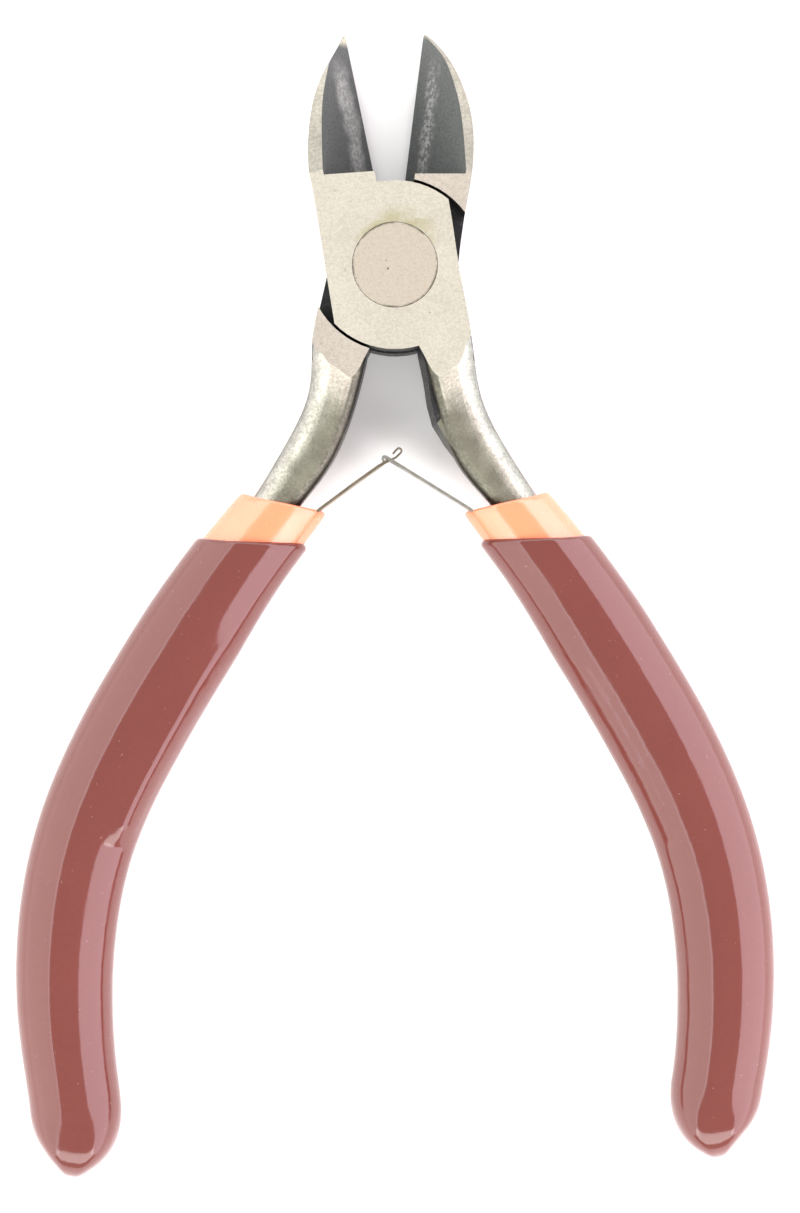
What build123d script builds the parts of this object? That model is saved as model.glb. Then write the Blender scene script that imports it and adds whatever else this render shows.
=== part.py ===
"""Flush cutter, drawn open and lying on its flat back: Z up, jaws towards +Y, pivot axis at X = Y = 0."""

from build123d import *
import os
from math import cos, radians, sin, tan

# ---- driving dimensions, millimetres and degrees ----
JOINT_T = 9.0  # lap joint and jaw root, face to face
LAP_Z = 4.5  # where the two half-laps meet
LAP_GAP = 0.03  # each half-lap stands back this much
DISC_R = 8.45  # round of each half-lap
RELIEF_R = 8.75  # round shoulder the other half-lap turns in
FRONT_OPEN = 11.65  # front lever's cutting edge from the Y axis, jaws open
REAR_OPEN = 7.15  # rear lever's cutting edge from the Y axis, jaws open
EDGE_X = 0.13  # cutting edges run this far left of the pivot axis
EDGE_GAP = 0.01  # left between the edges when shut
EDGE_Z = 1.0  # height of the cutting edge over the flat back
FRONT_RISE = 1.575  # front bevel's rise per millimetre outwards
REAR_RISE = 1.32  # rear bevel's rise per millimetre outwards
NOTCH = 1.0  # width of the rear bevel where it runs on into the lap
TIP_Y = 24.2  # jaw tips
BACK_HONE = 0.45  # width of the hone under the edge

RIVET_R = 2.6  # rivet shank
HEAD_R = 4.25  # rivet head, ground flush
HEAD_RIM = 0.9  # straight rim of the head
RUN_FIT = 0.05  # radial clearance of the front lever on the rivet

GRIP_T = 8.5  # outer coat, face to face
GRIP_CORNER = 3.3  # rounding of the outer coat's section
COAT_T = 0.5  # outer coat over the base coat
TANG_T = 5.9  # tang inside the grip, inner side
LEAF_T = 0.3  # leaf spring strip
LEAF_W = 4.2  # leaf spring width, along Z
TONGUE_W = 1.6  # narrow end of the left leaf
SLOT_W = 2.2  # slot in the right leaf

MID_Z = JOINT_T / 2
LEFT, RIGHT = -1, 1

# Tang from the grip's mouth to its end: x, y, lean from -Y, width.
TANG = (
    (10.1, -20.9, 32, 4.7),
    (15.0, -28.5, 34, 5.4),
    (22.9, -40.7, 32, 6.4),
    (29.7, -52.8, 22, 6.2),
    (33.1, -66.4, 4, 5.8),
    (33.1, -78.5, -4, 5.2),
    (32.6, -85.1, -4, 4.2),
)
# Outer coat: x, y, lean from -Y, width.
GRIP = (
    (9.0, -21.1, 37, 9.1),
    (14.9, -28.5, 36, 9.5),
    (20.4, -36.6, 32, 10.4),
    (26.5, -46.8, 28, 10.5),
    (31.1, -56.9, 18, 10.2),
    (33.2, -67.0, 6, 10.0),
    (33.4, -75.1, -2, 9.7),
    (32.8, -81.2, -5, 9.3),
)
# Nose of a grip: share of its length, x, share of the width, share of the thickness.
NOSE = (
    (0.38, 32.3, 0.93, 0.97),
    (0.62, 32.2, 0.79, 0.88),
    (0.80, 32.3, 0.60, 0.72),
    (0.93, 32.55, 0.40, 0.52),
    (1.00, 32.7, 0.22, 0.32),
)


def across(x, y, lean, side):
    """Plane square to a handle that leans outwards by lean degrees; its X points outwards."""
    a = radians(lean)
    return Plane(
        origin=(side * x, y, MID_Z),
        x_dir=(side * cos(a), sin(a), 0),
        z_dir=(side * sin(a), -cos(a), 0),
    )


def neck_section(x, y, lean, width, inner_t, outer_t, side):
    """Forged section: rounded on the inner side, rounder and thinner on the outer."""
    half = width / 2
    with BuildSketch(across(x, y, lean, side)) as section:
        with BuildLine():
            Polyline(
                (-half, -inner_t / 2),
                (half, -outer_t / 2),
                (half, outer_t / 2),
                (-half, inner_t / 2),
                close=True,
            )
        make_face()
        fillet(section.vertices().group_by(Axis.X)[0], radius=1.2)
        fillet(section.vertices().group_by(Axis.X)[-1], radius=2.2)
    return section.sketch


def forging(neck, side):
    """Neck and tang of one lever, over-thick at the joint end."""
    stations = list(neck) + [(x, y, lean, w, TANG_T, TANG_T - 0.3) for x, y, lean, w in TANG]
    with BuildPart() as bar:
        loft([neck_section(*station, side) for station in stations])
    return bar.part


def grip_section(x, y, lean, width, thick, corner, side):
    """Rounded section of a dipped grip."""
    with BuildSketch(across(x, y, lean, side)) as section:
        RectangleRounded(width, thick, corner)
    return section.sketch


def grip_body(inset, end_y, side):
    """Solid outline of a dipped grip, inset from the outer coat."""
    full = GRIP_T - 2 * inset
    start_y, start_w = GRIP[-1][1], GRIP[-1][3]
    corner = GRIP_CORNER - inset
    sections = [grip_section(x, y, lean, w - 2 * inset, full, corner, side) for x, y, lean, w in GRIP]
    for part, x, w_share, t_share in NOSE:
        y = start_y + (end_y + inset - start_y) * part
        width, thick = (start_w - 2 * inset) * w_share, full * t_share
        sections.append(grip_section(x, y, 0, width, thick, 0.36 * width, side))
    with BuildPart() as body:
        loft(sections)
    return body.part


def beyond(y, tilt, side):
    """Block on the jaw side of a dip line that crosses the handle at y."""
    with BuildPart() as block:
        with BuildSketch(Plane.XY.offset(-5)):
            with Locations(Location((side * 11, y), side * tilt)):
                Rectangle(40, 40, align=(Align.CENTER, Align.MIN))
        extrude(amount=20)
    return block.part


def rivet_space(clear):
    """Flush rivet with both heads; clear widens it into the hole it turns in."""
    with BuildPart() as space:
        with BuildSketch(Plane.XZ):
            with BuildLine():
                Polyline(
                    (0, -clear),
                    (HEAD_R + clear, -clear),
                    (HEAD_R + clear, HEAD_RIM + clear),
                    (RIVET_R + clear, HEAD_RIM + HEAD_R - RIVET_R + clear),
                    (RIVET_R + clear, JOINT_T - HEAD_RIM - HEAD_R + RIVET_R - clear),
                    (HEAD_R + clear, JOINT_T - HEAD_RIM - clear),
                    (HEAD_R + clear, JOINT_T + clear),
                    (0, JOINT_T + clear),
                    close=True,
                )
            make_face()
        revolve(axis=Axis.Z)
    return space.part


def edge_x(y, lean):
    """X of a cutting edge that leans by lean degrees towards +X."""
    return tan(radians(lean)) * y - EDGE_X / cos(radians(lean))


def along(lean):
    """Direction of a cutting edge towards its tip."""
    return (sin(radians(lean)), cos(radians(lean)), 0)


def jaw_plane(lean, root_y, tilt, side):
    """Upright plane across a jaw at root_y: its X points outwards from the cutting edge, its Y up."""
    a = radians(tilt)
    out = (side * cos(a), sin(a), 0)
    return Plane(origin=(edge_x(root_y, lean), root_y, 0), x_dir=out, z_dir=(sin(a), -side * cos(a), 0))


def bevel_cut(lean, rise, root_y, root_tilt, reach, side):
    """What is ground off the top of one jaw, out to reach from the cutting edge."""
    plane = jaw_plane(lean, root_y, root_tilt, side)
    with BuildPart() as cut:
        with BuildSketch(plane):
            with BuildLine():
                Polyline(
                    (-3, EDGE_Z - 3 * rise),
                    (reach, EDGE_Z + reach * rise),
                    (reach, JOINT_T + 4),
                    (-3, JOINT_T + 4),
                    close=True,
                )
            make_face()
        extrude(amount=20, dir=along(lean))
    return cut.part


def hone_cut(lean, root_y, side):
    """What is honed off the flat back of one jaw under its cutting edge."""
    with BuildPart() as cut:
        with BuildSketch(jaw_plane(lean, root_y, 0, side)):
            with BuildLine():
                Polyline((-1, -1), (BACK_HONE, -1), (BACK_HONE, 0), (0, EDGE_Z), (-1, EDGE_Z), close=True)
            make_face()
        extrude(amount=20, dir=along(lean))
    return cut.part


def jaw_top(side):
    """What is missing over a jaw that thins from the joint to the tip and falls off outwards."""
    with BuildPart() as over:
        with BuildSketch(Plane.YZ.offset(-side * 2)):
            with BuildLine():
                top = Spline((9.2, 10.0), (13.0, 9.0), (16.5, 7.8), (19.5, 6.2), (21.5, 4.75), (23.1, 2.9), (24.9, 0.9))
                Polyline(top @ 1, (26, 0.9), (26, 14), (9.2, 14), top @ 0)
            make_face()
        extrude(amount=14, dir=(side, 0, -0.1))
    return over.part


def slab(low, high):
    """Everything near the joint between two heights."""
    with BuildPart() as block:
        with BuildSketch(Plane.XY.offset(low)):
            Rectangle(60, 80)
        extrude(amount=high - low)
    return block.part


def lap_relief(low, high):
    """Round space the other lever's half-lap turns in."""
    with BuildPart() as space:
        with BuildSketch(Plane.XY.offset(low)):
            Circle(RELIEF_R)
        extrude(amount=high - low)
    return space.part


# ---- front lever: left jaw, upper half-lap, right neck and tang ----
FRONT_NECK = (
    (4.95, -6.2, 0, 5.1, 10.8, 9.6),
    (5.6, -10.2, 4, 5.0, 9.9, 8.3),
    (6.3, -13.2, 14, 4.7, 8.4, 6.9),
    (7.3, -16.2, 27, 4.9, 7.2, 6.5),
)

# Drafted inner wall of the front neck at mid height: x, y.
WALL_FOOT = (
    (2.2, -8.0),
    (2.3, -9.0),
    (2.85, -11.6),
    (3.2, -14.0),
    (3.75, -16.0),
    (5.0, -18.0),
    (6.0, -19.3),
    (7.5, -18.4),
    (6.5, -8.0),
)


def neck_wall(top, draft):
    """Half of the drafted wall, from mid height up to top."""
    with BuildPart() as wall:
        with BuildSketch(Plane.XY.offset(MID_Z)):
            with BuildLine():
                Polyline(WALL_FOOT, close=True)
            make_face()
        extrude(amount=top - MID_Z, taper=draft)
    return wall.part


with BuildPart() as front_lever:
    with BuildSketch():
        with BuildLine():
            tip = (edge_x(TIP_Y, -FRONT_OPEN) - EDGE_GAP, TIP_Y)
            root = (edge_x(8.3, -FRONT_OPEN) - EDGE_GAP, 8.3)
            Line(tip, root)
            Line(root, (0, DISC_R))
            ThreePointArc((0, DISC_R), (2.9, 7.937), (5.35, 6.54))
            Spline((5.35, 6.54), (6.0, 2.5), (6.45, -0.5), (7.0, -3.3), (7.65, -7.0))
            Polyline((7.65, -7.0), (6.6, -8.9), (3.2, -9.6), (2.4, -8.1))
            ThreePointArc((2.4, -8.1), (-2.0, -8.21), (-6.05, -5.9))
            Spline((-6.05, -5.9), (-6.6, -2.5), (-7.05, 0.2), (-7.8, 5), (-8.65, 9.5))
            Spline((-8.65, 9.5), (-8.63, 14.1), (-7.47, 19.25), (-5.75, 22.9), (-5.4, 23.85))
            Line((-5.4, 23.85), tip)
        make_face()
    extrude(amount=JOINT_T)
    add(forging(FRONT_NECK, RIGHT))
    add(neck_wall(7.6, 9))
    add(neck_wall(7.6, 9).mirror(Plane.XY.offset(MID_Z)))
    add(slab(JOINT_T, JOINT_T + 5), mode=Mode.SUBTRACT)
    add(slab(-5, 0), mode=Mode.SUBTRACT)
    add(jaw_top(LEFT), mode=Mode.SUBTRACT)
    add(bevel_cut(-FRONT_OPEN, FRONT_RISE, 9.35, -4, 6, LEFT), mode=Mode.SUBTRACT)
    add(hone_cut(-FRONT_OPEN, 9.35, LEFT), mode=Mode.SUBTRACT)
    add(lap_relief(-1, LAP_Z + LAP_GAP), mode=Mode.SUBTRACT)
    add(rivet_space(RUN_FIT), mode=Mode.SUBTRACT)

# ---- rear lever: right jaw, lower half-lap, left neck and tang ----
REAR_NECK = (
    (5.4, -6.6, 0, 5.6, 10.8, 9.6),
    (5.75, -10.2, 4, 5.3, 9.9, 8.3),
    (6.35, -13.2, 14, 4.85, 8.4, 6.9),
    (7.4, -16.2, 27, 4.9, 7.2, 6.5),
)

with BuildPart() as rear_lever:
    with BuildSketch():
        with BuildLine():
            tip = (edge_x(TIP_Y, REAR_OPEN), TIP_Y)
            root = (edge_x(8.3, REAR_OPEN), 8.3)
            Line(tip, root)
            Line(root, (0, DISC_R))
            ThreePointArc((0, DISC_R), (-2.9, 7.937), (-5.35, 6.54))
            Spline((-5.35, 6.54), (-6.2, 3), (-6.9, -0.8), (-7.65, -4.1), (-8.3, -7.6))
            Polyline((-8.3, -7.6), (-7.8, -8.8), (-3.2, -9.6), (-2.5, -8.25))
            ThreePointArc((-2.5, -8.25), (2.0, -8.385), (5.8, -6.38))
            Spline((5.8, -6.38), (6.2, -1.5), (6.5, 1.5), (6.95, 4.8), (7.7, 9))
            Spline((7.7, 9), (7.91, 12.1), (7.68, 15.2), (6.94, 18), (5.0, 22), (3.35, 24.0))
            Line((3.35, 24.0), tip)
        make_face()
    extrude(amount=JOINT_T)
    add(forging(REAR_NECK, LEFT))
    add(slab(JOINT_T, JOINT_T + 5), mode=Mode.SUBTRACT)
    add(slab(-5, 0), mode=Mode.SUBTRACT)
    add(jaw_top(RIGHT), mode=Mode.SUBTRACT)
    add(bevel_cut(REAR_OPEN, REAR_RISE, 9.1, 0, 7, RIGHT), mode=Mode.SUBTRACT)
    add(bevel_cut(REAR_OPEN, REAR_RISE, 7.9, 0, NOTCH, RIGHT), mode=Mode.SUBTRACT)
    add(hone_cut(REAR_OPEN, 9.1, RIGHT), mode=Mode.SUBTRACT)
    add(lap_relief(LAP_Z - LAP_GAP, JOINT_T + 1), mode=Mode.SUBTRACT)
    add(rivet_space(0), mode=Mode.SUBTRACT)

# ---- rivet ----
with BuildPart() as pivot_rivet:
    add(rivet_space(0))

# ---- leaf springs: flat strips on edge, one out of each grip ----
MOUTH = (7.8, -24.55)  # where a leaf leaves its grip
TAIL = ((8.0, -24.85), (10.3, -28.0), (16.9, -37.6), (21.0, -44.5), (25.6, -52.8), (27.4, -57.2))


def strip(points):
    """Spring strip on edge along a plan curve."""
    with BuildPart() as band:
        with BuildSketch(Plane.XY.offset(MID_Z - LEAF_W / 2)):
            with BuildLine():
                Spline(points)
            trace(line_width=LEAF_T)
        extrude(amount=LEAF_W)
    return band.part


left_tail = strip([(-x, y) for x, y in TAIL])
right_tail = strip(TAIL)

with BuildPart() as left_leaf:
    with BuildSketch(Plane.XY.offset(MID_Z - LEAF_W / 2)):
        with BuildLine():
            Line((-MOUTH[0], MOUTH[1]), (-0.35, -19.15))
        trace(line_width=LEAF_T)
        with Locations(Location((0.1, -18.8), 36)):
            SlotOverall(1.5, 0.75)
    extrude(amount=LEAF_W)
    with BuildSketch(Plane.XY.offset(MID_Z - LEAF_W / 2)):
        with Locations(Location((0.1, -18.8), 36)):
            SlotOverall(0.9, 0.15)
    extrude(amount=LEAF_W, mode=Mode.SUBTRACT)
    with Locations((0.6, -18.4, MID_Z + (LEAF_W + TONGUE_W) / 4), (0.6, -18.4, MID_Z - (LEAF_W + TONGUE_W) / 4)):
        Box(3.6, 4, (LEAF_W - TONGUE_W) / 2, mode=Mode.SUBTRACT)

with BuildPart() as right_leaf:
    with BuildSketch(Plane.XY.offset(MID_Z - LEAF_W / 2)):
        with BuildLine():
            start = Line(MOUTH, (-1.35, -18.9))
            TangentArc(start @ 1, (-1.45, -19.55), tangent=start % 1)
        trace(line_width=LEAF_T)
    extrude(amount=LEAF_W)
    with Locations((-0.3, -19.6, MID_Z)):
        Box(1.7, 3, SLOT_W, mode=Mode.SUBTRACT)

# ---- rivets that hold the leaf tails to the tangs ----
PIN_AT = (23.5, -48.9, 29)  # x, y, lean from -Y


def spring_rivet(side):
    """Small round-head rivet through the tail into the tang."""
    x, y, lean = PIN_AT
    plane = across(x, y, lean, side)
    inward = Plane(origin=plane.origin, x_dir=(0, 0, 1), z_dir=-plane.x_dir)
    with BuildPart() as rivet:
        with BuildSketch(inward.offset(-1.6)):
            Circle(0.8)
        extrude(amount=2.0)
        with BuildSketch(inward.offset(0.15)):
            Circle(1.3)
        extrude(amount=0.45)
        round_edges = rivet.edges().filter_by(GeomType.CIRCLE)
        fillet(round_edges.group_by(SortBy.RADIUS)[-1], radius=0.2)
    return rivet.part


left_pin = spring_rivet(LEFT)
right_pin = spring_rivet(RIGHT)

# ---- grips: base coat and outer coat, dipped over the tang, leaf tail and its rivet ----
LEFT_END, RIGHT_END = -91.9, -89.9
LEFT_BASE_LINE, RIGHT_BASE_LINE = (-23.85, 14), (-23.75, 15)
LEFT_COAT_LINE, RIGHT_COAT_LINE = (-28.0, 5.6), (-27.6, 5)


def mouth_pocket(side):
    """Room between the neck and the leaf in the mouth of a base coat."""
    with BuildPart() as pocket:
        with BuildSketch(across(10.05, -21.4, 34, side)):
            with Locations((-3.0, 0)):
                RectangleRounded(1.9, 4.9, 0.7)
        extrude(amount=6.5)
    return pocket.part


def base_coat(end_y, line, side):
    """Base coat of one grip, still solid."""
    with BuildPart() as coat:
        add(grip_body(COAT_T, end_y, side))
        add(beyond(*line, side), mode=Mode.SUBTRACT)
    return coat.part


def hollow_base(solid, lever, tail, pin, side):
    """Base coat around what it was dipped over."""
    with BuildPart() as coat:
        add(solid)
        add(mouth_pocket(side), mode=Mode.SUBTRACT)
        add(lever, mode=Mode.SUBTRACT)
        add(tail, mode=Mode.SUBTRACT)
        add(pin, mode=Mode.SUBTRACT)
    return coat.part.solids().sort_by(SortBy.VOLUME)[-1]


def outer_coat(end_y, line, base_solid, side):
    """Outer coat of one grip around its base coat."""
    with BuildPart() as coat:
        add(grip_body(0, end_y, side))
        add(beyond(*line, side), mode=Mode.SUBTRACT)
        add(base_solid, mode=Mode.SUBTRACT)
    return coat.part


def seated(lever, tail, pin):
    """Lever with the seat of its leaf tail and the hole of the tail's rivet."""
    with BuildPart() as cut:
        add(lever)
        add(tail, mode=Mode.SUBTRACT)
        add(pin, mode=Mode.SUBTRACT)
    return cut.part


def pierced(tail, pin):
    """Tail with its rivet hole."""
    with BuildPart() as cut:
        add(tail)
        add(pin, mode=Mode.SUBTRACT)
    return cut.part


left_solid = base_coat(LEFT_END, LEFT_BASE_LINE, LEFT)
right_solid = base_coat(RIGHT_END, RIGHT_BASE_LINE, RIGHT)

nodes = {
    "front_lever": seated(front_lever.part, right_tail, right_pin),
    "rear_lever": seated(rear_lever.part, left_tail, left_pin),
    "pivot_rivet": pivot_rivet.part,
    "left_leaf_spring": left_leaf.part,
    "right_leaf_spring": right_leaf.part,
    "left_leaf_tail": pierced(left_tail, left_pin),
    "right_leaf_tail": pierced(right_tail, right_pin),
    "left_spring_rivet": left_pin,
    "right_spring_rivet": right_pin,
    "left_grip_base": hollow_base(left_solid, rear_lever.part, left_tail, left_pin, LEFT),
    "right_grip_base": hollow_base(right_solid, front_lever.part, right_tail, right_pin, RIGHT),
    "left_grip_outer": outer_coat(LEFT_END, LEFT_COAT_LINE, left_solid, LEFT),
    "right_grip_outer": outer_coat(RIGHT_END, RIGHT_COAT_LINE, right_solid, RIGHT),
}
os.makedirs("parts", exist_ok=True)
for name, piece in nodes.items():
    piece.label = name
    export_step(piece, f"parts/{name}.step")
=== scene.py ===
"""Looks of the flush cutter, in the CAD frame: metres, Z up, jaws towards +Y."""

import math

import bpy
import numpy as np
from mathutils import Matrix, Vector


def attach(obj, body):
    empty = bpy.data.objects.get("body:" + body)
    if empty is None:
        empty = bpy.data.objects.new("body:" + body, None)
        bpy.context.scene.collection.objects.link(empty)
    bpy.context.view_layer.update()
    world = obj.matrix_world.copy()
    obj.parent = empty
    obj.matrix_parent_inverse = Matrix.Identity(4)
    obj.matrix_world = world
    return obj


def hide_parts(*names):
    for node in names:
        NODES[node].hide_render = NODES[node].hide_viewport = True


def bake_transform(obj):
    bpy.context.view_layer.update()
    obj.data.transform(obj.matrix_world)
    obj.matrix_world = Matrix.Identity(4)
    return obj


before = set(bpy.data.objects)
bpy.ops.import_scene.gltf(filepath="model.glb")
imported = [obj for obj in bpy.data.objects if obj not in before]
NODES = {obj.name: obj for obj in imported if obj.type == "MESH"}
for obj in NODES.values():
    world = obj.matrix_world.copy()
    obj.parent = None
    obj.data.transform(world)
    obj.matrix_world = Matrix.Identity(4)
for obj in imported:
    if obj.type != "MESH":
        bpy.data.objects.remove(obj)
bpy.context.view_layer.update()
MM = 0.001
LEFT, RIGHT = -1, 1
JOINT_T = 9.0
MID_Z = JOINT_T / 2


# ---- material helpers ----
class Paint:
    """Short calls that build one node material in object space."""

    def __init__(self, name):
        self.mat = bpy.data.materials.new(name)
        self.mat.use_nodes = True
        self.tree = self.mat.node_tree
        self.bsdf = self.tree.nodes["Principled BSDF"]
        texture = self.tree.nodes.new("ShaderNodeTexCoord")
        self.coord = texture.outputs["Object"]
        self.normal = texture.outputs["Normal"]
        split = self.tree.nodes.new("ShaderNodeSeparateXYZ")
        self.tree.links.new(self.coord, split.inputs[0])
        self.x, self.y, self.z = split.outputs

    def put(self, socket, value):
        if isinstance(value, bpy.types.NodeSocket):
            self.tree.links.new(value, socket)
        elif isinstance(value, tuple) and len(value) == 3 and socket.type == "RGBA":
            socket.default_value = (*value, 1)
        else:
            socket.default_value = value

    def math(self, op, a, b=0.0):
        node = self.tree.nodes.new("ShaderNodeMath")
        node.operation = op
        self.put(node.inputs[0], a)
        self.put(node.inputs[1], b)
        return node.outputs[0]

    def add(self, first, *more):
        """Sum of sockets and numbers."""
        for value in more:
            first = self.math("ADD", first, value)
        return first

    def times(self, first, *more):
        """Product of sockets and numbers."""
        for value in more:
            first = self.math("MULTIPLY", first, value)
        return first

    def minus(self, a, b):
        return self.math("SUBTRACT", a, b)

    def wobble(self, noise, size):
        """A noise about zero, size from end to end."""
        return self.times(self.minus(noise, 0.5), size)

    def step(self, value, low, high):
        """0 below low, 1 above high, smooth between; low may be over high."""
        node = self.tree.nodes.new("ShaderNodeMapRange")
        node.interpolation_type = "SMOOTHSTEP"
        self.put(node.inputs["Value"], value)
        node.inputs["From Min"].default_value = low
        node.inputs["From Max"].default_value = high
        return node.outputs[0]

    def step_mm(self, value, low, high):
        """The same step, with its ends in millimetres."""
        return self.step(value, low * MM, high * MM)

    def scaled(self, factors):
        """The object's coordinates, stretched for a noise."""
        node = self.tree.nodes.new("ShaderNodeVectorMath")
        node.operation = "MULTIPLY"
        self.tree.links.new(self.coord, node.inputs[0])
        node.inputs[1].default_value = factors
        return node.outputs[0]

    def noise(self, per_mm, detail=2.0, rough=0.5, vector=None):
        node = self.tree.nodes.new("ShaderNodeTexNoise")
        self.tree.links.new(vector or self.coord, node.inputs["Vector"])
        node.inputs["Scale"].default_value = per_mm / MM
        node.inputs["Detail"].default_value = detail
        node.inputs["Roughness"].default_value = rough
        return node.outputs["Fac"]

    def mix(self, factor, a, b):
        """Colour a to colour b."""
        node = self.tree.nodes.new("ShaderNodeMix")
        node.data_type = "RGBA"
        self.put(node.inputs["Factor"], factor)
        self.put(node.inputs[6], a)
        self.put(node.inputs[7], b)
        return node.outputs[2]

    def lerp(self, factor, a, b):
        """Number a to number b."""
        node = self.tree.nodes.new("ShaderNodeMix")
        node.data_type = "FLOAT"
        self.put(node.inputs[0], factor)
        self.put(node.inputs[2], a)
        self.put(node.inputs[3], b)
        return node.outputs[0]

    def spot(self, x, y, radius, soft):
        """1 inside a round place on the plan, 0 outside, in millimetres."""
        node = self.tree.nodes.new("ShaderNodeVectorMath")
        node.operation = "DISTANCE"
        self.tree.links.new(self.scaled((1, 1, 0)), node.inputs[0])
        node.inputs[1].default_value = (x * MM, y * MM, 0)
        return self.step_mm(node.outputs["Value"], radius + soft, radius - soft)

    def pits(self, per_mm, low, places):
        """Scattered faint pits, and full ones at x, y, radius in millimetres."""
        pit = self.times(self.step(self.noise(per_mm, 1, 0.4), low, 0.79), 0.4)
        for x, y, radius in places:
            pit = self.math("MAXIMUM", pit, self.spot(x, y, radius, 0.04))
        return pit

    def ramp(self, value, first_mm, last_mm, low, high):
        """Straight ramp over a stretch in millimetres, held at both ends."""
        node = self.tree.nodes.new("ShaderNodeMapRange")
        self.put(node.inputs["Value"], value)
        node.inputs["From Min"].default_value = first_mm * MM
        node.inputs["From Max"].default_value = last_mm * MM
        node.inputs["To Min"].default_value = low
        node.inputs["To Max"].default_value = high
        return node.outputs[0]

    def facing(self, way):
        """How far the surface faces a fixed direction of the object."""
        node = self.tree.nodes.new("ShaderNodeVectorMath")
        node.operation = "DOT_PRODUCT"
        self.tree.links.new(self.normal, node.inputs[0])
        node.inputs[1].default_value = way
        return node.outputs["Value"]

    def tinted(self, colour, factor):
        """A colour times a number."""
        node = self.tree.nodes.new("ShaderNodeVectorMath")
        node.operation = "SCALE"
        self.put(node.inputs[0], colour)
        node.inputs["Scale"].default_value = factor
        return node.outputs[0]

    def bump(self, height, depth_mm):
        node = self.tree.nodes.new("ShaderNodeBump")
        node.inputs["Strength"].default_value = 1
        node.inputs["Distance"].default_value = depth_mm * MM
        self.put(node.inputs["Height"], height)
        return node.outputs[0]

    def surface(self, colour, rough, metal, normal=None, **more):
        self.put(self.bsdf.inputs["Base Color"], colour)
        self.put(self.bsdf.inputs["Roughness"], rough)
        self.put(self.bsdf.inputs["Metallic"], metal)
        if normal is not None:
            self.put(self.bsdf.inputs["Normal"], normal)
        for key, value in more.items():
            self.put(self.bsdf.inputs[key], value)
        return self.mat


# ---- materials ----
FRONT_FLAT = (0.508, 0.482, 0.402)
REAR_FLAT = (0.465, 0.425, 0.36)
# Darker copy of the ground flat's colour for the jaws' sloping strips: painted shade.
JAW_SIDE_SHADE = (0.32, 0.305, 0.26)
RIVET_STAIN = (0.30, 0.275, 0.13)
FLAT_PITS = ((3.5, -4.8, 0.07), (-4.4, 6.3, 0.05))
RIVET_PITS = ((-0.7, -0.4, 0.10), (-0.9, 0.4, 0.06))
RIVET_RIM = 4.12
FRONT_LEAN, REAR_LEAN = -11.65, 7.15  # cutting edges off the Y axis, degrees
FRONT_RISE, REAR_RISE = 1.59, 1.335  # how steeply each bevel climbs from its edge


def ground_steel(name, light):
    """Cream ground flat: mottled speckle, faint grinding lines, a few pits, a stain by the rivet."""
    p = Paint(name)
    grain = p.noise(3.4, 3, 0.6)
    fine = p.noise(9.0, 2, 0.6)
    broad = p.noise(0.28, 2, 0.5)
    lines = p.noise(0.9, 2, 0.6, p.scaled((1, 6, 1)))
    tone = p.add(p.times(grain, 0.45), p.times(fine, 0.35), p.times(lines, 0.12))
    shade = p.step(p.add(tone, p.times(broad, 0.2)), 0.44, 0.68)
    colour = p.mix(shade, tuple(c * 0.76 for c in light), tuple(c * 1.08 for c in light))
    patchy = p.step(p.noise(0.7, 4, 0.6), 0.36, 0.58)
    blotch = p.times(p.spot(0.5, 1.0, 4.5, 1.0), p.step_mm(p.y, 2.4, 4.6), patchy)
    uneven = p.step(p.noise(1.1, 3, 0.6), 0.25, 0.6)
    rim = p.times(p.spot(0, 0.25, 4.55, 0.45), p.step_mm(p.y, 1.2, 3.4), uneven)
    colour = p.mix(p.times(p.math("MAXIMUM", blotch, rim), 0.6), colour, RIVET_STAIN)
    colour = p.mix(p.pits(1.7, 0.755, FLAT_PITS), colour, (0.16, 0.14, 0.11))
    return p.surface(colour, p.lerp(shade, 0.60, 0.48), 0.85, p.bump(tone, 0.03))


def bevel_steel(name, lean, dark, light, middle, half, patchy, tip_y):
    """Dark unground bevel: scuffed along a band middle millimetres from its edge, worn pale at its tip."""
    p = Paint(name)
    across = p.minus(p.times(p.y, math.tan(math.radians(lean))), p.x)
    off = p.add(p.math("ABSOLUTE", across), p.wobble(p.noise(0.4, 2, 0.5), 1.4 * MM))
    band = p.step_mm(p.math("ABSOLUTE", p.minus(off, middle * MM)), half, half * 0.15)
    ends = p.times(p.step_mm(p.y, 22.2, 18.5), p.step_mm(p.y, 8.2, 10.5))
    scuff = p.step(p.noise(2.3, 3, 0.65), 0.43, 0.60)
    fine = p.step(p.noise(5.5, 3, 0.65), 0.35, 0.65)
    soft = p.add(p.times(scuff, patchy), (1 - patchy) * 0.62)
    streak = p.times(band, ends, soft, 1.15 - 0.45 * patchy)
    colour = p.mix(streak, p.mix(fine, dark, light), (0.33, 0.335, 0.32))
    colour = p.mix(p.step_mm(p.y, tip_y - 0.7, tip_y + 0.3), colour, (0.40, 0.39, 0.29))
    return p.surface(colour, p.lerp(streak, 0.50, 0.55), 0.35, p.bump(fine, 0.012))


def wall_steel():
    """As-forged wall, nearly black; on the recessed lap faces and shelves it is partly painted shade."""
    p = Paint("wall_steel")
    rub = p.step(p.noise(1.3, 3, 0.7), 0.55, 0.75)
    fine = p.noise(6.0, 2, 0.6)
    base = p.mix(fine, (0.016, 0.016, 0.017), (0.035, 0.035, 0.036))
    colour = p.mix(p.times(rub, 0.35), base, (0.13, 0.13, 0.125))
    return p.surface(colour, 0.5, 0.6, p.bump(fine, 0.015))


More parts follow.
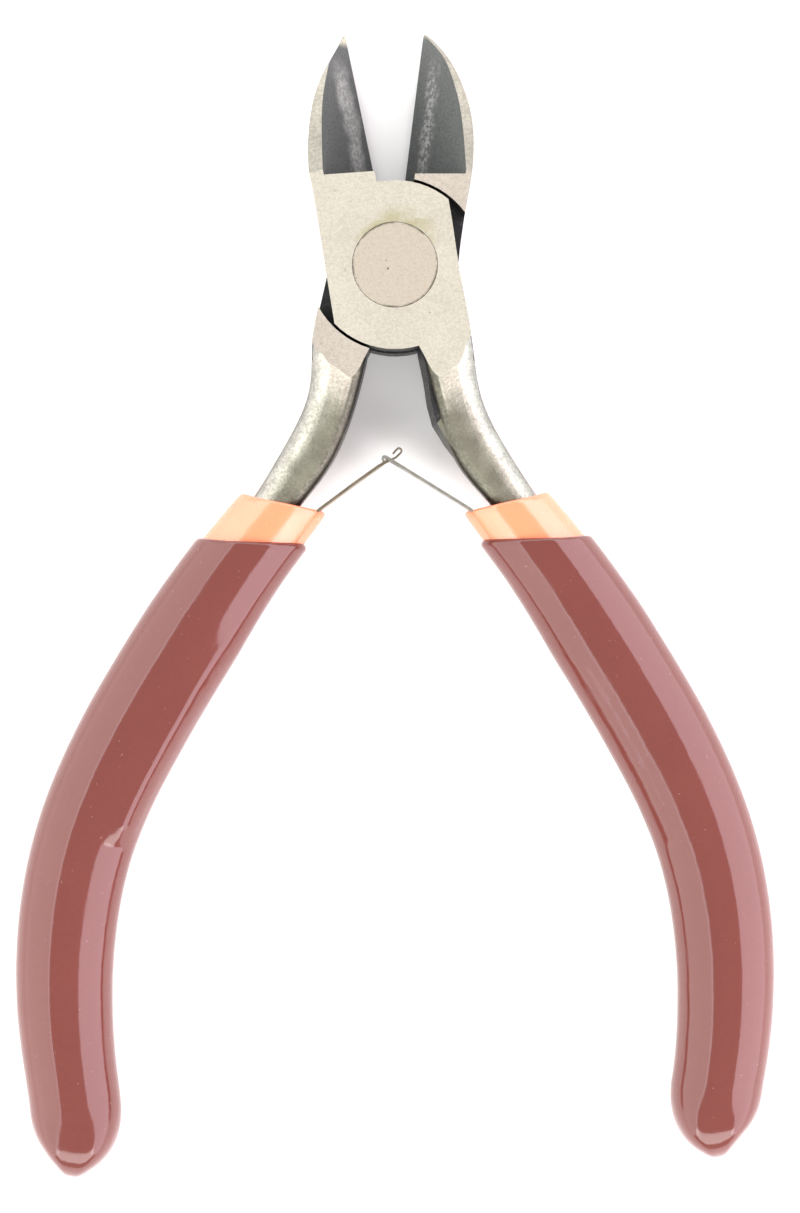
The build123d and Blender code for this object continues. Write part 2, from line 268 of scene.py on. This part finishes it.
def neck_steel(name, side, flat, rim):
    """Sandblasted forging that fades into the ground flat, with painted light and shade: lighter towards its
    outer side, darker towards its inner side, a painted tone on its outer sloping side, painted shade on its
    steepest outer faces and on its inner side, and a near-black inner wall that is partly as-forged and
    partly painted shade.
    """
    p = Paint(name)
    grit = p.noise(3.8, 3, 0.7)
    cloud = p.noise(0.5, 3, 0.55)
    # Painted highlight and shade across the neck: lighter towards its outer side, darker towards its inner
    # side, changing along this middle line.
    middle = p.add(p.ramp(p.y, -7, -13, 5.4, 6.3), p.ramp(p.y, -13, -24, 0, 6.6))
    off = p.add(p.minus(p.times(p.x, side / MM), middle), p.wobble(cloud, 1.2))
    satin_and_painted_shade = p.mix(p.step(off, -1.4, 1.0), (0.235, 0.228, 0.175), (0.38, 0.375, 0.315))
    # facing is -1 on the outer side of the neck and 1 on its inner side
    facing = p.facing((-0.93 * side, -0.36, 0))
    # Painted light and shade by how each face turns: a painted tone on the outer sloping side, painted shade
    # on the steepest outer faces and painted shade on the inner side.
    satin_and_painted_shade = p.mix(p.step(facing, -0.25, -0.75), satin_and_painted_shade, rim)
    satin_and_painted_shade = p.mix(p.step(facing, -0.86, -0.98), satin_and_painted_shade, (0.15, 0.148, 0.13))
    satin_and_painted_shade = p.mix(p.step(facing, 0.06, 0.42), satin_and_painted_shade, (0.098, 0.096, 0.075))
    height = p.add(p.z, p.wobble(p.noise(1.1, 3, 0.6), 0.6 * MM))
    level = p.times(p.step(facing, -0.5, -0.15), p.step(facing, 0.34, 0.14), p.step_mm(height, 8.1, 8.7))
    satin_and_painted_shade = p.mix(level, satin_and_painted_shade, flat)
    speck = p.step(p.add(p.times(grit, 0.6), p.times(cloud, 0.4)), 0.38, 0.64)
    colour = p.mix(speck, p.tinted(satin_and_painted_shade, 0.74), p.tinted(satin_and_painted_shade, 1.24))
    # Near-black inner wall low on the neck: partly as-forged finish, partly painted shade.
    drafted_wall_and_shade = p.times(p.step(facing, 0.80, 0.95), p.step_mm(p.y, -17.2, -15.6))
    colour = p.mix(drafted_wall_and_shade, colour, (0.035, 0.035, 0.034))
    rough = p.lerp(p.step(grit, 0.4, 0.6), 0.46, 0.34)
    return p.surface(colour, rough, 0.95, p.bump(grit, 0.035))


def rivet_steel():
    """Ground rivet head, a little pinker than the lever, dirty along its rim."""
    p = Paint("rivet_steel")
    tone = p.add(p.times(p.noise(3.2, 3, 0.6), 0.65), p.times(p.noise(8.5, 2, 0.6), 0.35))
    shade = p.step(tone, 0.40, 0.60)
    colour = p.mix(shade, (0.385, 0.342, 0.277), (0.478, 0.434, 0.352))
    rim = p.minus(1.0, p.spot(0, 0, RIVET_RIM, 0.12))
    colour = p.mix(p.times(rim, p.step(p.noise(0.5, 3, 0.6), 0.38, 0.6)), colour, (0.12, 0.11, 0.08))
    colour = p.mix(p.pits(1.9, 0.75, RIVET_PITS), colour, (0.10, 0.08, 0.06))
    return p.surface(colour, p.lerp(shade, 0.60, 0.48), 0.85, p.bump(tone, 0.03))


def spring_steel(name, dark, light):
    """Strip steel with drawn streaks."""
    p = Paint(name)
    streak = p.noise(1.5, 3, 0.6, p.scaled((1, 1, 5)))
    return p.surface(p.mix(streak, dark, light), 0.34, 0.95, p.bump(streak, 0.01))


def dipped(name, dark, light, rough_low, rough_high, gloss):
    """Glossy dip: soft unevenness, faint rub marks and dust."""
    p = Paint(name)
    slow = p.add(p.times(p.noise(0.12, 2, 0.5), 0.6), p.times(p.noise(1.5, 3, 0.65), 0.4))
    dust = p.step(p.noise(2.8, 2, 0.5), 0.72, 0.78)
    rub = p.step(p.noise(0.5, 4, 0.65, p.scaled((1, 0.35, 1))), 0.5, 0.75)
    colour = p.mix(p.times(dust, 0.12), p.mix(slow, dark, light), (0.75, 0.6, 0.55))
    skin = p.add(p.noise(0.35, 2, 0.4), p.times(p.noise(1.6, 2, 0.5), 0.12))
    return p.surface(colour, p.lerp(rub, rough_low, rough_high), 0.0, p.bump(skin, 0.05), IOR=gloss)


front_ground = ground_steel("front_ground_steel", FRONT_FLAT)
rear_ground = ground_steel("rear_ground_steel", REAR_FLAT)
# The same ground steel, darker, for the jaws' sloping strips: painted shade.
jaw_side_shade = ground_steel("jaw_side_shade_steel", JAW_SIDE_SHADE)
wall = wall_steel()
rivet = rivet_steel()
left_steel = spring_steel("bronze_strip", (0.115, 0.095, 0.062), (0.41, 0.35, 0.26))
right_steel = spring_steel("pale_strip", (0.19, 0.183, 0.155), (0.52, 0.505, 0.45))
front_bevel = bevel_steel(
    "front_bevel",
    FRONT_LEAN,
    (0.040, 0.0445, 0.043),
    (0.070, 0.0755, 0.073),
    middle=1.4,
    half=1.1,
    patchy=0.4,
    tip_y=23.3,
)
rear_bevel = bevel_steel(
    "rear_bevel",
    REAR_LEAN,
    (0.052, 0.056, 0.054),
    (0.088, 0.094, 0.091),
    middle=1.45,
    half=0.8,
    patchy=0.8,
    tip_y=24.2,
)
# The last colour is the painted tone of each neck's outer sloping side.
front_neck = neck_steel("front_neck", RIGHT, FRONT_FLAT, (0.275, 0.292, 0.255))
rear_neck = neck_steel("rear_neck", LEFT, REAR_FLAT, (0.29, 0.285, 0.255))
orange = dipped("base_pvc", (0.70, 0.180, 0.076), (0.78, 0.220, 0.104), 0.27, 0.37, 1.82)
maroon = dipped("outer_pvc", (0.101, 0.0232, 0.0180), (0.130, 0.0310, 0.0247), 0.12, 0.20, 1.52)


# ---- steel nodes: which finish each face has ----
BEVEL_FROM_Y = 7.5
JAW_FROM_Y = 9.0
NECK_FROM_Y = -9.7
SHELF_FROM_Y, SHELF_TO_Y = -7.0, -15.5
SHELF_OFF = 3.1  # height of the lap's shelves off the middle of the joint
NEAR = 0.02


def finish_lever(node, ground, neck, bevel, bevel_normal):
    """Ground flats, dark bevel, dark walls and sandblasted neck, by where a face is and how it faces; the
    jaws' sloping strips get a darker copy of the ground steel as painted shade, and the recessed lap faces
    and shelves get the dark wall steel, partly as painted shade.
    """
    mesh = node.data
    mesh.materials.clear()
    for mat in (ground, bevel, wall, neck, jaw_side_shade):
        mesh.materials.append(mat)
    is_ground, is_bevel, is_wall, is_neck, is_jaw_side_shade = range(5)
    count = len(mesh.polygons)
    centre = np.zeros(count * 3)
    normal = np.zeros(count * 3)
    mesh.polygons.foreach_get("center", centre)
    mesh.polygons.foreach_get("normal", normal)
    centre = centre.reshape(-1, 3) / MM
    normal = normal.reshape(-1, 3)
    y, z, up = centre[:, 1], centre[:, 2], normal[:, 2]
    flat = np.abs(up) > 0.99
    choice = np.full(count, is_neck)
    choice[(y > NECK_FROM_Y) & (up < 0.3)] = is_wall
    # Sloping faces on the jaws take the darker copy of the ground steel: painted shade.
    choice[(y > JAW_FROM_Y) & (up > 0.3)] = is_jaw_side_shade
    choice[(y > BEVEL_FROM_Y) & (normal @ bevel_normal > 0.985)] = is_bevel
    # Recessed lap faces and shelves take the near-black wall steel: partly as-forged finish, partly painted
    # shade.
    choice[(y < JAW_FROM_Y) & (y > NECK_FROM_Y) & (z < MID_Z + 0.1) & (up > 0.9)] = is_wall
    shelf = flat & (np.abs(np.abs(z - MID_Z) - SHELF_OFF) < NEAR)
    choice[shelf & (y < SHELF_FROM_Y) & (y > SHELF_TO_Y)] = is_wall
    choice[flat & ((z > JOINT_T - NEAR) | (z < NEAR))] = is_ground
    mesh.polygons.foreach_set("material_index", choice.astype(np.int32))


def bevel_direction(lean, rise, side):
    """Normal of a jaw's bevel."""
    a = math.radians(lean)
    out = np.array([side * math.cos(a), -side * math.sin(a), 0.0])
    normal = np.array([0, 0, 1.0]) - rise * out
    return normal / np.linalg.norm(normal)


front_bevel_normal = bevel_direction(FRONT_LEAN, FRONT_RISE, LEFT)
rear_bevel_normal = bevel_direction(REAR_LEAN, REAR_RISE, RIGHT)
finish_lever(NODES["front_lever"], front_ground, front_neck, front_bevel, front_bevel_normal)
finish_lever(NODES["rear_lever"], rear_ground, rear_neck, rear_bevel, rear_bevel_normal)
for name, mat, finish in (
    ("pivot_rivet", rivet, "rivet_steel"),
    ("left_spring_rivet", rivet, "rivet_steel"),
    ("right_spring_rivet", rivet, "rivet_steel"),
    ("left_leaf_tail", left_steel, "spring_steel"),
    ("right_leaf_tail", right_steel, "spring_steel"),
):
    NODES[name].data.materials.clear()
    NODES[name].data.materials.append(mat)


# ---- meshes ----
def mesh_object(name, points, faces, mat, smooth=True):
    """Mesh object from points in millimetres."""
    mesh = bpy.data.meshes.new(name)
    mesh.from_pydata([tuple(p) for p in np.asarray(points) * MM], [], faces)
    mesh.materials.append(mat)
    mesh.polygons.foreach_set("use_smooth", [smooth] * len(mesh.polygons))
    mesh.validate()
    obj = bpy.data.objects.new(name, mesh)
    bpy.context.scene.collection.objects.link(obj)
    return obj


def spline(knots, values, at):
    """Natural cubic spline through values at knots, read at the given places."""
    knots, values = np.asarray(knots, float), np.asarray(values, float)
    n = len(knots)
    h = np.diff(knots)
    rows, right = np.eye(n), np.zeros(n)
    for i in range(1, n - 1):
        rows[i, i - 1 : i + 2] = (h[i - 1], 2 * (h[i - 1] + h[i]), h[i])
        right[i] = 6 * ((values[i + 1] - values[i]) / h[i] - (values[i] - values[i - 1]) / h[i - 1])
    bend = np.linalg.solve(rows, right)
    i = np.clip(np.searchsorted(knots, at) - 1, 0, n - 2)
    a, b = (knots[i + 1] - at) / h[i], (at - knots[i]) / h[i]
    curve = ((a**3 - a) * bend[i] + (b**3 - b) * bend[i + 1]) * h[i] ** 2 / 6
    return a * values[i] + b * values[i + 1] + curve


# Grip centre line and width at rest: y, x, width square to the line.
GRIP = (
    (-18.0, 6.9, 8.8),
    (-23.0, 10.55, 9.0),
    (-28.5, 14.9, 9.5),
    (-36.6, 20.4, 10.4),
    (-46.8, 26.5, 10.5),
    (-56.9, 31.1, 10.2),
    (-67.0, 33.2, 10.0),
    (-75.1, 33.4, 9.7),
    (-81.2, 32.8, 9.3),
)
GRIP_T = 8.5
NOSE_LEFT = ((-85.2, 32.3), (-88.5, 32.25), (-91.9, 32.7))  # the rest of the centre line: y, x
NOSE_RIGHT = ((-84.6, 32.3), (-87.4, 32.25), (-89.9, 32.7))
COAT_T = 0.5
BEAD = 0.42  # length of the rounded bead where the outer coat starts
WALL = 0.62  # wall of the base coat at its mouth
MOUTH_DEPTH = 3.4
TUCK = 0.06  # how far the outer coat's end reaches under the base coat's skin
DIP_X = 11
DIP_WAVE = 0.03

# Half sections of a grip from its crown down, as shares of half its width and thickness.
OUTER_SIDE = (
    (0, 1),
    (0.13, 0.998),
    (0.235, 0.988),
    (0.30, 0.962),
    (0.45, 0.872),
    (0.62, 0.752),
    (0.80, 0.58),
    (0.93, 0.35),
)
INNER_SIDE = (
    (0, 1),
    (0.14, 0.998),
    (0.25, 0.987),
    (0.32, 0.96),
    (0.47, 0.87),
    (0.66, 0.73),
    (0.83, 0.55),
    (0.95, 0.32),
)
WIDE_SIDE = ((0, 1), (0.3, 0.997), (0.48, 0.985), (0.60, 0.95), (0.72, 0.875), (0.85, 0.69), (0.95, 0.4))
BLUNT_SIDE = ((0, 1), (0.3, 0.996), (0.48, 0.972), (0.62, 0.905), (0.76, 0.775), (0.88, 0.58), (0.965, 0.31))
WIDE_AT = (-57.5, -55, -43, -34), (0, 1, 1, 0)  # y, then how far the inner side has the wide section
BLUNT_FROM, BLUNT_OVER = 8.0, 5.5  # the blunt section comes in before the tip, over a stretch

# Nose of a grip: millimetres from its tip, then the share of the width and of the thickness there.
NOSE_AT = (0, 0.2, 0.57, 1.0, 1.8, 2.7, 3.4, 4.4, 5.5, 6.8)
NOSE_WIDTH = (0.09, 0.19, 0.30, 0.40, 0.58, 0.73, 0.82, 0.91, 0.97, 1.0)
NOSE_THICK = (0.14, 0.32, 0.51, 0.66, 0.825, 0.92, 0.958, 0.985, 0.996, 1.0)

# Ridge that the leaf's tail raises along the inner side of the outer coat.
RIDGE_END = -57.2
RIDGE_IN = (-57, -50, -40, -30, -26), (1.75, 1.75, 1.8, 1.2, 1.0)  # y, then how far in from the side
RIDGE_HEIGHT, RIDGE_HALF = 0.034, 0.42
RIDGE_INSET = 0.3  # nothing deeper under the outer skin is raised
GROOVE_DEPTH, GROOVE_HALF = 0.05, 1.0
AROUND, ALONG = 96, 220


def section_radius(outer_side, inner_side):
    """Polar table of a section in shares: angle 0 is outwards, a quarter turn is up."""
    crown = [(u, h) for u, h in outer_side] + [(1.0, 0.0)]
    inner = [(-u, h) for u, h in inner_side[1:]] + [(-1.0, 0.0)]
    upper = np.array(crown[::-1] + inner)
    angle = np.arctan2(upper[:, 1], upper[:, 0])
    radius = np.hypot(upper[:, 0], upper[:, 1])
    turn = np.linspace(0, 2 * np.pi, 721)[:-1]
    folded = np.where(turn > np.pi, 2 * np.pi - turn, turn)
    table = np.interp(folded, angle, radius)
    reach = 13
    kernel = np.hanning(2 * reach + 1)
    kernel /= kernel.sum()
    table = np.convolve(np.concatenate([table[-reach:], table, table[:reach]]), kernel, "valid")
    return np.append(turn, 2 * np.pi), np.append(table, table[0])


SECTION = section_radius(OUTER_SIDE, INNER_SIDE)
WIDE_SECTION = section_radius(OUTER_SIDE, WIDE_SIDE)
BLUNT_SECTION = section_radius(BLUNT_SIDE, BLUNT_SIDE)


def smooth_table(knots, values, at):
    """Cubic through a table, held at 1 past its end."""
    return np.where(at >= knots[-1], 1.0, np.minimum(spline(knots, values, np.minimum(at, knots[-1])), 1.0))


class Grip:
    """Surface of one dipped grip: a point for a place along it, an angle round it and an inset."""

    def __init__(self, side, nose, wide_crown):
        self.side, self.wide_crown = side, wide_crown
        table, nose = np.array(GRIP), np.array(nose)
        ys = np.concatenate([table[:, 0], nose[:, 0]])
        xs = np.concatenate([table[:, 1], nose[:, 1]])
        self.s = np.linspace(0, 1, 900)
        y = ys[0] + (ys[-1] - ys[0]) * self.s
        x = spline(-ys, xs, -y)
        self.line = np.stack([x, y], 1)
        step = np.gradient(self.line, axis=0)
        self.out = np.stack([-step[:, 1], step[:, 0]], 1)
        self.out /= np.linalg.norm(self.out, axis=1)[:, None]
        self.width = np.interp(-y, -table[:, 0], table[:, 2])
        reach = 15
        kernel = np.ones(2 * reach + 1) / (2 * reach + 1)
        self.width = np.convolve(np.pad(self.width, reach, "edge"), kernel, "valid")
        self.taper = y - ys[-1]

    def at(self, s, angle, inset):
        """Points for arrays of the same shape; angle 0 is outwards, 90 degrees is up."""
        line = np.stack([np.interp(s, self.s, self.line[:, k]) for k in (0, 1)], -1)
        out = np.stack([np.interp(s, self.s, self.out[:, k]) for k in (0, 1)], -1)
        left = np.interp(s, self.s, self.taper)
        fine = np.sqrt(left + 1e-6)
        knots = np.sqrt(NOSE_AT)
        width = np.interp(s, self.s, self.width) * smooth_table(knots, NOSE_WIDTH, fine)
        thick = GRIP_T * smooth_table(knots, NOSE_THICK, fine)
        turn = np.mod(angle, 2 * np.pi)
        blunt = np.clip((BLUNT_FROM - left) / BLUNT_OVER, 0, 1)
        blunt = blunt * blunt * (3 - 2 * blunt)
        wide = self.wide_crown * np.interp(line[..., 1], *WIDE_AT)
        round_r = (1 - wide) * np.interp(turn, *SECTION) + wide * np.interp(turn, *WIDE_SECTION)
        round_r = (1 - blunt) * round_r + blunt * np.interp(turn, *BLUNT_SECTION)
        across = round_r * np.cos(angle) * np.maximum(width / 2 - inset, 0.05)
        high = round_r * np.sin(angle) * np.maximum(thick / 2 - inset, 0.05)
        off_ridge = across + (width / 2 - np.interp(line[..., 1], *RIDGE_IN))
        fade = np.clip((line[..., 1] - RIDGE_END) / 0.8, 0, 1) ** 0.7 * (inset < RIDGE_INSET)
        high = high * (1 + RIDGE_HEIGHT * fade * np.exp(-((off_ridge / RIDGE_HALF) ** 2)))
        across = across - GROOVE_DEPTH * fade * np.exp(-((off_ridge / GROOVE_HALF) ** 2))
        x = line[..., 0] + out[..., 0] * across
        y = line[..., 1] + out[..., 1] * across
        return np.stack([x * self.side, y, MID_Z + high], -1)

    def start(self, y0, tilt, inset):
        """Where each line along the grip crosses a dip line, as places along it.

        The angles run the other way on the left, so that its faces point outwards too.
        """
        angles = self.side * np.linspace(0, 2 * np.pi, AROUND, endpoint=False)
        s = np.linspace(0, 0.45, 600)
        found = []
        for a in angles:
            p = self.at(s, np.full_like(s, a), np.full_like(s, inset))
            dip = y0 + math.tan(math.radians(tilt)) * (np.abs(p[:, 0]) - DIP_X)
            dip = dip + DIP_WAVE * (math.sin(3 * a + 1) + 0.6 * math.sin(5 * a))
            over = p[:, 1] - dip
            k = int(np.argmax(over < 0))
            found.append(s[k - 1] + (s[k] - s[k - 1]) * over[k - 1] / (over[k - 1] - over[k]))
        return angles, np.array(found)


def tube(name, rings, mat):
    """Closed mesh from rings of points, with a fan over each end."""
    n = len(rings[0])
    points = np.concatenate(rings)
    faces = []
    for r in range(len(rings) - 1):
        a, b = r * n, (r + 1) * n
        faces += [(a + j, a + (j + 1) % n, b + (j + 1) % n, b + j) for j in range(n)]
    first, last = rings[0].mean(0), rings[-1].mean(0)
    k = len(points)
    points = np.concatenate([points, [first, last]])
    faces += [(k, (j + 1) % n, j) for j in range(n)]
    a = (len(rings) - 1) * n
    faces += [(k + 1, a + j, a + (j + 1) % n) for j in range(n)]
    return mesh_object(name, points, faces, mat)


def grip_rings(grip, angles, start, inset):
    """Rings from a start line to the end of the nose."""
    rings = []
    for share in np.linspace(0, 1, ALONG)[1:]:
        s = start + (1 - start) * share
        rings.append(grip.at(s, angles, np.full_like(s, inset)))
    return rings


def millimetres(grip, mm):
    """A length along the grip as a share of it."""
    return mm / np.linalg.norm(np.diff(grip.line, axis=0), axis=1).sum()


def outer_coat(name, grip, y0, tilt, mat):
    """Outer coat with a rounded bead where the dip stops."""
    angles, start = grip.start(y0, tilt, 0.0)
    rings = []
    for a in np.linspace(0, math.pi / 2, 7):
        inset = (COAT_T + TUCK) * (1 - math.sin(a))
        s = start + millimetres(grip, BEAD) * (1 - math.cos(a))
        rings.append(grip.at(s, angles, np.full_like(s, inset)))
    start = start + millimetres(grip, BEAD)
    return tube(name, rings + grip_rings(grip, angles, start, 0.0), mat)


def base_coat(name, grip, y0, tilt, mat):
    """Base coat with a hollow, rounded mouth round the neck."""
    angles, start = grip.start(y0, tilt, COAT_T)
    rings = []
    for depth in (MOUTH_DEPTH, 2.2, 1.0, 0.5):
        s = start + millimetres(grip, depth)
        rings.append(grip.at(s, angles, np.full_like(s, COAT_T + WALL)))
    for a in np.linspace(0, math.pi, 9)[1:-1]:
        inset = COAT_T + WALL / 2 * (1 + math.cos(a))
        s = start + millimetres(grip, WALL / 2) * (1 - math.sin(a))
        rings.append(grip.at(s, angles, np.full_like(s, inset)))
    start = start + millimetres(grip, WALL / 2)
    return tube(name, rings + grip_rings(grip, angles, start, COAT_T), mat)


left_grip = Grip(LEFT, NOSE_LEFT, 0.85)
right_grip = Grip(RIGHT, NOSE_RIGHT, 0.0)
# Each dip line is its y at DIP_X off the middle, and its tilt in degrees.
for side, grip, body, base_line, coat_line in (
    ("left", left_grip, "rear_half", (-23.85, 14), (-28.0, 5.6)),
    ("right", right_grip, "front_half", (-23.75, 15), (-27.6, 5)),
):
    base = base_coat(side + "_base_coat", grip, *base_line, orange)
    coat = outer_coat(side + "_outer_coat", grip, *coat_line, maroon)
    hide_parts(side + "_grip_base")
    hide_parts(side + "_grip_outer")
    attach(base, body)
    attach(coat, body)

# ---- leaf springs ----
LEAF_T = 0.3
HOOK_T = 0.18
LEAF_W = 4.2
LEAF_STEP = 0.22


def strip(name, centre, thick, bands, present, mat):
    """Strip on edge along a plan line; present says which band of its width each stretch has."""
    centre = np.asarray(centre, float)
    thick = np.asarray(thick)[:, None]
    way = np.gradient(centre, axis=0)
    way /= np.linalg.norm(way, axis=1)[:, None]
    square = np.stack([-way[:, 1], way[:, 0]], 1) * thick / 2
    points, index, faces = [], {}, []

    def corner(i, side, level):
        key = (i, side, level)
        if key not in index:
            x, y = centre[i] + side * square[i]
            index[key] = len(points)
            points.append((x, y, bands[level]))
        return index[key]

    for i in range(len(centre) - 1):
        for b in range(len(bands) - 1):
            if not present(i, b):
                continue
            p = {(k, s, t): corner(i + k, s, b + t) for k in (0, 1) for s in (-1, 1) for t in (0, 1)}
            faces.append((p[0, 1, 0], p[0, 1, 1], p[1, 1, 1], p[1, 1, 0]))
            faces.append((p[0, -1, 0], p[1, -1, 0], p[1, -1, 1], p[0, -1, 1]))
            if i == 0 or not present(i - 1, b):
                faces.append((p[0, -1, 0], p[0, -1, 1], p[0, 1, 1], p[0, 1, 0]))
            if i == len(centre) - 2 or not present(i + 1, b):
                faces.append((p[1, -1, 0], p[1, 1, 0], p[1, 1, 1], p[1, -1, 1]))
            if b == 0 or not present(i, b - 1):
                faces.append((p[0, -1, 0], p[0, 1, 0], p[1, 1, 0], p[1, -1, 0]))
            if b == len(bands) - 2 or not present(i, b + 1):
                faces.append((p[0, -1, 1], p[1, -1, 1], p[1, 1, 1], p[0, 1, 1]))
    return mesh_object(name, points, faces, mat, smooth=False)


def walk(corners, step):
    """Points at an even step along a line of corners."""
    corners = np.asarray(corners, float)
    run = np.concatenate([[0], np.cumsum(np.linalg.norm(np.diff(corners, axis=0), axis=1))])
    at = np.linspace(0, run[-1], max(int(run[-1] / step), 2))
    return np.stack([np.interp(at, run, corners[:, k]) for k in (0, 1)], 1)


def arc(cx, cy, radius, first, last, count):
    """Points of an arc, angles in degrees."""
    a = np.radians(np.linspace(first, last, count))
    return [(cx + radius * math.cos(t), cy + radius * math.sin(t)) for t in a]


def leaf_bands(half):
    """Heights that part a strip into an edge, a middle and an edge."""
    return (MID_Z - LEAF_W / 2, MID_Z - half, MID_Z + half, MID_Z + LEAF_W / 2)


def turned(points, x, y, angle):
    """Local points turned by angle degrees and put at x, y."""
    a = math.radians(angle)
    return [(x + u * math.cos(a) - v * math.sin(a), y + u * math.sin(a) + v * math.cos(a)) for u, v in points]


# Left leaf: a narrowed tongue whose end is bent back into a hairpin.
leaf_line = walk([(-7.95, -24.72), (-7.55, -24.37), (-4.3, -21.95), (-1.1, -19.67)], LEAF_STEP)
loop_way_out = [(-0.78, -0.12), (-0.42, -0.25), (0.02, -0.26)]
loop_way_back = [(0.02, 0.26), (-0.36, 0.22)]
loop = loop_way_out + arc(0.28, 0, 0.26, -90, 90, 11) + loop_way_back
left_line = np.concatenate([leaf_line, turned(loop, 0.2, -18.66, 45)])
shoulder = len(leaf_line) - 3
left_leaf = strip(
    "left_leaf",
    left_line,
    [LEAF_T] * len(leaf_line) + [HOOK_T] * len(loop),
    leaf_bands(0.8),
    lambda i, b: b == 1 or i < shoulder,
    left_steel,
)

# Right leaf: a slot that the tongue passes through, and a small hook.
leaf_line = walk([(7.95, -24.72), (7.55, -24.37), (3.4, -21.8), (-0.9, -19.14)], LEAF_STEP)
slot_from, slot_to = len(leaf_line) - 8, len(leaf_line) - 1
hook = arc(-1.06, -19.27, 0.22, 70, 260, 9)
right_leaf = strip(
    "right_leaf",
    np.concatenate([leaf_line, hook]),
    [LEAF_T] * len(leaf_line) + [HOOK_T] * len(hook),
    leaf_bands(1.1),
    lambda i, b: b != 1 or i < slot_from or i > slot_to,
    right_steel,
)
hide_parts("left_leaf_spring")
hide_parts("right_leaf_spring")
for leaf, handle, body, side in (
    (left_leaf, "rear_half", "left_leaf", LEFT),
    (right_leaf, "front_half", "right_leaf", RIGHT),
):
    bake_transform(leaf)


# ---- camera and light ----
def aim(obj, target):
    """Points an object's -Z at a target."""
    direction = Vector(target) - obj.location
    obj.rotation_mode = "QUATERNION"
    obj.rotation_quaternion = direction.to_track_quat("-Z", "Y")


def area_light(name, place, target, size_x, size_y, power, colour):
    """Soft rectangular light."""
    data = bpy.data.lights.new(name, "AREA")
    data.shape = "RECTANGLE"
    data.size, data.size_y = size_x, size_y
    data.energy = power
    data.color = colour
    obj = bpy.data.objects.new(name, data)
    bpy.context.scene.collection.objects.link(obj)
    obj.location = place
    aim(obj, target)


FRAME_LONG = 121.3 * MM  # what the long side of the frame spans at the joint's face
CAM_DIST = 380 * MM
CAM_X, CAM_Y = 0.5 * MM, -34.2 * MM
SENSOR = 36

camera = bpy.data.objects.new("camera", bpy.data.cameras.new("camera"))
bpy.context.scene.collection.objects.link(camera)
camera.data.sensor_width = SENSOR
camera.data.lens = SENSOR * CAM_DIST / FRAME_LONG
camera.data.clip_start, camera.data.clip_end = 0.01, 10
camera.location = (CAM_X, CAM_Y, JOINT_T * MM + CAM_DIST)
camera.rotation_euler = (0, 0, 0)
bpy.context.scene.camera = camera

area_light("side_left", (-0.42, -0.035, 0.19), (0, -0.035, 0), 1.0, 0.44, 3.65, (1.0, 0.97, 0.95))
area_light("side_right", (0.42, -0.035, 0.19), (0, -0.035, 0), 1.0, 0.44, 5.6, (1.0, 0.87, 0.97))
area_light("window_left", (-0.31, -0.035, 0.42), (0, -0.035, 0), 0.9, 0.06, 0.7, (0.93, 0.96, 1.0))
area_light("low_front", (0.0, -0.50, 0.34), (0, -0.02, 0), 0.9, 0.3, 4.6, (1.0, 0.98, 0.96))
area_light("low_back", (0.0, 0.50, 0.26), (0, -0.01, 0), 0.9, 0.3, 3.0, (1.0, 0.99, 0.97))
world = bpy.data.worlds.new("studio")
bpy.context.scene.world = world
world.use_nodes = True
background = world.node_tree.nodes["Background"]
background.inputs["Color"].default_value = (1, 1, 1, 1)
background.inputs["Strength"].default_value = 0.76
bpy.context.scene.view_settings.view_transform = "Standard"

# ---- floor ----
HALF = 4.0
floor_mesh = bpy.data.meshes.new("floor")
floor_corners = [(-HALF, -HALF, 0), (HALF, -HALF, 0), (HALF, HALF, 0), (-HALF, HALF, 0)]
floor_mesh.from_pydata(floor_corners, [], [(0, 1, 2, 3)])
floor = bpy.data.objects.new("floor", floor_mesh)
bpy.context.scene.collection.objects.link(floor)
cloth = Paint("floor_cloth")
floor_mesh.materials.append(cloth.surface((0.93, 0.925, 0.915), 0.9, 0.0))
